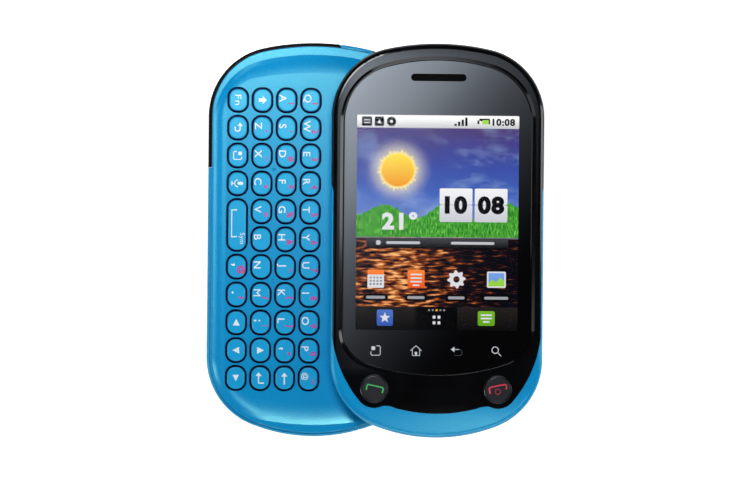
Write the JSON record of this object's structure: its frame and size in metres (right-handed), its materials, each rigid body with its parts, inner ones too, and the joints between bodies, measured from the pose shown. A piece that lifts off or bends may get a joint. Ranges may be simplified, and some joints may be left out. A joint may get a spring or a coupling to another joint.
{
  "type": "slider phone",
  "caption": "Side-sliding phone: a glass-fronted screen half slides off a dished letter keypad half, with pressable keys and a hinged socket cover.",
  "frame": {"origin": "centre of the keypad half's flat back, which lies on the table", "axes": "+X to the right, the way the screen half slides open; +Y towards the earpiece end; +Z out of the screen"},
  "size_m": [0.0888, 0.1046, 0.0164],
  "materials": {
    "blue_case": "satin metallic blue paint on moulded plastic",
    "blue_deck": "satin metallic blue paint on moulded plastic",
    "blue_key": "semi-gloss blue key caps",
    "black_plastic": "fine-textured black",
    "black_gloss": "polished black",
    "call_key_plastic": "satin dark grey",
    "screen_glass": "clear glass with a black printed border",
    "display_frame": "display unit in a dark frame",
    "slide_steel": "pressed stainless steel",
    "screw_steel": "blackened steel",
    "silicone": "black silicone rubber",
    "circuit_board": "green solder mask",
    "battery_label": "plain dark film"
  },
  "bodies": {
    "base": {"rear_housing": "black_plastic", "battery_cover": "blue_case", "battery_pack": "battery_label", "keypad_deck": "blue_deck", "key_mat": "silicone", "main_board": "circuit_board", "case_screws": "screw_steel", "guide_plate": "slide_steel"},
    "slider": {"front_bezel": "black_gloss", "slider_case": "blue_case", "touch_lens": "screen_glass", "display_module": "display_frame", "slide_plate": "slide_steel"},
    "port_cover": {"port_cover": "blue_case"},
    "volume_key": {"volume_key": "black_plastic"},
    "call_key": {"call_key": "call_key_plastic"},
    "end_key": {"end_key": "call_key_plastic"},
    "key_fn": {"key_fn": "blue_key"},
    "key_back": {"key_back": "blue_key"},
    "key_menu": {"key_menu": "blue_key"},
    "key_mic": {"key_mic": "blue_key"},
    "key_space": {"key_space": "blue_key"},
    "key_comma": {"key_comma": "blue_key"},
    "key_period": {"key_period": "blue_key"},
    "key_up": {"key_up": "blue_key"},
    "key_left": {"key_left": "blue_key"},
    "key_down": {"key_down": "blue_key"},
    "key_shift": {"key_shift": "blue_key"},
    "key_z": {"key_z": "blue_key"},
    "key_x": {"key_x": "blue_key"},
    "key_c": {"key_c": "blue_key"},
    "key_v": {"key_v": "blue_key"},
    "key_b": {"key_b": "blue_key"},
    "key_n": {"key_n": "blue_key"},
    "key_m": {"key_m": "blue_key"},
    "key_semicolon": {"key_semicolon": "blue_key"},
    "key_right": {"key_right": "blue_key"},
    "key_enter": {"key_enter": "blue_key"},
    "key_a": {"key_a": "blue_key"},
    "key_s": {"key_s": "blue_key"},
    "key_d": {"key_d": "blue_key"},
    "key_f": {"key_f": "blue_key"},
    "key_g": {"key_g": "blue_key"},
    "key_h": {"key_h": "blue_key"},
    "key_j": {"key_j": "blue_key"},
    "key_k": {"key_k": "blue_key"},
    "key_l": {"key_l": "blue_key"},
    "key_apostrophe": {"key_apostrophe": "blue_key"},
    "key_delete": {"key_delete": "blue_key"},
    "key_q": {"key_q": "blue_key"},
    "key_w": {"key_w": "blue_key"},
    "key_e": {"key_e": "blue_key"},
    "key_r": {"key_r": "blue_key"},
    "key_t": {"key_t": "blue_key"},
    "key_y": {"key_y": "blue_key"},
    "key_u": {"key_u": "blue_key"},
    "key_i": {"key_i": "blue_key"},
    "key_o": {"key_o": "blue_key"},
    "key_p": {"key_p": "blue_key"},
    "key_at": {"key_at": "blue_key"}
  },
  "joints": [
    {"name": "slider_slide", "type": "slide", "parent": "base", "child": "slider", "axis": [1, 0, 0], "range_m": [-0.03245, 0]},
    {"name": "key_fn_press", "type": "slide", "parent": "base", "child": "key_fn", "axis": [0, 0, -1], "range_m": [0, 0.00035], "stiffness_N_per_m": 60, "springref_m": -0.0005},
    {"name": "key_back_press", "type": "slide", "parent": "base", "child": "key_back", "axis": [0, 0, -1], "range_m": [0, 0.00035], "stiffness_N_per_m": 60, "springref_m": -0.0005},
    {"name": "key_menu_press", "type": "slide", "parent": "base", "child": "key_menu", "axis": [0, 0, -1], "range_m": [0, 0.00035], "stiffness_N_per_m": 60, "springref_m": -0.0005},
    {"name": "key_mic_press", "type": "slide", "parent": "base", "child": "key_mic", "axis": [0, 0, -1], "range_m": [0, 0.00035], "stiffness_N_per_m": 60, "springref_m": -0.0005},
    {"name": "key_space_press", "type": "slide", "parent": "base", "child": "key_space", "axis": [0, 0, -1], "range_m": [0, 0.00035], "stiffness_N_per_m": 60, "springref_m": -0.0005},
    {"name": "key_comma_press", "type": "slide", "parent": "base", "child": "key_comma", "axis": [0, 0, -1], "range_m": [0, 0.00035], "stiffness_N_per_m": 60, "springref_m": -0.0005},
    {"name": "key_period_press", "type": "slide", "parent": "base", "child": "key_period", "axis": [0, 0, -1], "range_m": [0, 0.00035], "stiffness_N_per_m": 60, "springref_m": -0.0005},
    {"name": "key_up_press", "type": "slide", "parent": "base", "child": "key_up", "axis": [0, 0, -1], "range_m": [0, 0.00035], "stiffness_N_per_m": 60, "springref_m": -0.0005},
    {"name": "key_left_press", "type": "slide", "parent": "base", "child": "key_left", "axis": [0, 0, -1], "range_m": [0, 0.00035], "stiffness_N_per_m": 60, "springref_m": -0.0005},
    {"name": "key_down_press", "type": "slide", "parent": "base", "child": "key_down", "axis": [0, 0, -1], "range_m": [0, 0.00035], "stiffness_N_per_m": 60, "springref_m": -0.0005},
    {"name": "key_shift_press", "type": "slide", "parent": "base", "child": "key_shift", "axis": [0, 0, -1], "range_m": [0, 0.00035], "stiffness_N_per_m": 60, "springref_m": -0.0005},
    {"name": "key_z_press", "type": "slide", "parent": "base", "child": "key_z", "axis": [0, 0, -1], "range_m": [0, 0.00035], "stiffness_N_per_m": 60, "springref_m": -0.0005},
    {"name": "key_x_press", "type": "slide", "parent": "base", "child": "key_x", "axis": [0, 0, -1], "range_m": [0, 0.00035], "stiffness_N_per_m": 60, "springref_m": -0.0005},
    {"name": "key_c_press", "type": "slide", "parent": "base", "child": "key_c", "axis": [0, 0, -1], "range_m": [0, 0.00035], "stiffness_N_per_m": 60, "springref_m": -0.0005},
    {"name": "key_v_press", "type": "slide", "parent": "base", "child": "key_v", "axis": [0, 0, -1], "range_m": [0, 0.00035], "stiffness_N_per_m": 60, "springref_m": -0.0005},
    {"name": "key_b_press", "type": "slide", "parent": "base", "child": "key_b", "axis": [0, 0, -1], "range_m": [0, 0.00035], "stiffness_N_per_m": 60, "springref_m": -0.0005},
    {"name": "key_n_press", "type": "slide", "parent": "base", "child": "key_n", "axis": [0, 0, -1], "range_m": [0, 0.00035], "stiffness_N_per_m": 60, "springref_m": -0.0005},
    {"name": "key_m_press", "type": "slide", "parent": "base", "child": "key_m", "axis": [0, 0, -1], "range_m": [0, 0.00035], "stiffness_N_per_m": 60, "springref_m": -0.0005},
    {"name": "key_semicolon_press", "type": "slide", "parent": "base", "child": "key_semicolon", "axis": [0, 0, -1], "range_m": [0, 0.00035], "stiffness_N_per_m": 60, "springref_m": -0.0005},
    {"name": "key_right_press", "type": "slide", "parent": "base", "child": "key_right", "axis": [0, 0, -1], "range_m": [0, 0.00035], "stiffness_N_per_m": 60, "springref_m": -0.0005},
    {"name": "key_enter_press", "type": "slide", "parent": "base", "child": "key_enter", "axis": [0, 0, -1], "range_m": [0, 0.00035], "stiffness_N_per_m": 60, "springref_m": -0.0005},
    {"name": "key_a_press", "type": "slide", "parent": "base", "child": "key_a", "axis": [0, 0, -1], "range_m": [0, 0.00035], "stiffness_N_per_m": 60, "springref_m": -0.0005},
    {"name": "key_s_press", "type": "slide", "parent": "base", "child": "key_s", "axis": [0, 0, -1], "range_m": [0, 0.00035], "stiffness_N_per_m": 60, "springref_m": -0.0005},
    {"name": "key_d_press", "type": "slide", "parent": "base", "child": "key_d", "axis": [0, 0, -1], "range_m": [0, 0.00035], "stiffness_N_per_m": 60, "springref_m": -0.0005},
    {"name": "key_f_press", "type": "slide", "parent": "base", "child": "key_f", "axis": [0, 0, -1], "range_m": [0, 0.00035], "stiffness_N_per_m": 60, "springref_m": -0.0005},
    {"name": "key_g_press", "type": "slide", "parent": "base", "child": "key_g", "axis": [0, 0, -1], "range_m": [0, 0.00035], "stiffness_N_per_m": 60, "springref_m": -0.0005},
    {"name": "key_h_press", "type": "slide", "parent": "base", "child": "key_h", "axis": [0, 0, -1], "range_m": [0, 0.00035], "stiffness_N_per_m": 60, "springref_m": -0.0005},
    {"name": "key_j_press", "type": "slide", "parent": "base", "child": "key_j", "axis": [0, 0, -1], "range_m": [0, 0.00035], "stiffness_N_per_m": 60, "springref_m": -0.0005},
    {"name": "key_k_press", "type": "slide", "parent": "base", "child": "key_k", "axis": [0, 0, -1], "range_m": [0, 0.00035], "stiffness_N_per_m": 60, "springref_m": -0.0005},
    {"name": "key_l_press", "type": "slide", "parent": "base", "child": "key_l", "axis": [0, 0, -1], "range_m": [0, 0.00035], "stiffness_N_per_m": 60, "springref_m": -0.0005},
    {"name": "key_apostrophe_press", "type": "slide", "parent": "base", "child": "key_apostrophe", "axis": [0, 0, -1], "range_m": [0, 0.00035], "stiffness_N_per_m": 60, "springref_m": -0.0005},
    {"name": "key_delete_press", "type": "slide", "parent": "base", "child": "key_delete", "axis": [0, 0, -1], "range_m": [0, 0.00035], "stiffness_N_per_m": 60, "springref_m": -0.0005},
    {"name": "key_q_press", "type": "slide", "parent": "base", "child": "key_q", "axis": [0, 0, -1], "range_m": [0, 0.00035], "stiffness_N_per_m": 60, "springref_m": -0.0005},
    {"name": "key_w_press", "type": "slide", "parent": "base", "child": "key_w", "axis": [0, 0, -1], "range_m": [0, 0.00035], "stiffness_N_per_m": 60, "springref_m": -0.0005},
    {"name": "key_e_press", "type": "slide", "parent": "base", "child": "key_e", "axis": [0, 0, -1], "range_m": [0, 0.00035], "stiffness_N_per_m": 60, "springref_m": -0.0005},
    {"name": "key_r_press", "type": "slide", "parent": "base", "child": "key_r", "axis": [0, 0, -1], "range_m": [0, 0.00035], "stiffness_N_per_m": 60, "springref_m": -0.0005},
    {"name": "key_t_press", "type": "slide", "parent": "base", "child": "key_t", "axis": [0, 0, -1], "range_m": [0, 0.00035], "stiffness_N_per_m": 60, "springref_m": -0.0005},
    {"name": "key_y_press", "type": "slide", "parent": "base", "child": "key_y", "axis": [0, 0, -1], "range_m": [0, 0.00035], "stiffness_N_per_m": 60, "springref_m": -0.0005},
    {"name": "key_u_press", "type": "slide", "parent": "base", "child": "key_u", "axis": [0, 0, -1], "range_m": [0, 0.00035], "stiffness_N_per_m": 60, "springref_m": -0.0005},
    {"name": "key_i_press", "type": "slide", "parent": "base", "child": "key_i", "axis": [0, 0, -1], "range_m": [0, 0.00035], "stiffness_N_per_m": 60, "springref_m": -0.0005},
    {"name": "key_o_press", "type": "slide", "parent": "base", "child": "key_o", "axis": [0, 0, -1], "range_m": [0, 0.00035], "stiffness_N_per_m": 60, "springref_m": -0.0005},
    {"name": "key_p_press", "type": "slide", "parent": "base", "child": "key_p", "axis": [0, 0, -1], "range_m": [0, 0.00035], "stiffness_N_per_m": 60, "springref_m": -0.0005},
    {"name": "key_at_press", "type": "slide", "parent": "base", "child": "key_at", "axis": [0, 0, -1], "range_m": [0, 0.00035], "stiffness_N_per_m": 60, "springref_m": -0.0005},
    {"name": "port_cover_hinge", "type": "hinge", "parent": "base", "child": "port_cover", "pos_m": [0.00696, 0.0515, 0.006], "axis": [0, 0, 1], "range_deg": [0, 100]},
    {"name": "volume_key_press", "type": "slide", "parent": "base", "child": "volume_key", "axis": [-1, 0, 0], "range_m": [0, 0.0003], "stiffness_N_per_m": 80, "springref_m": -0.0005},
    {"name": "call_key_press", "type": "slide", "parent": "slider", "child": "call_key", "axis": [0, 0, -1], "range_m": [0, 0.00035], "stiffness_N_per_m": 60, "springref_m": -0.0005},
    {"name": "end_key_press", "type": "slide", "parent": "slider", "child": "end_key", "axis": [0, 0, -1], "range_m": [0, 0.00035], "stiffness_N_per_m": 60, "springref_m": -0.0005}
  ]
}
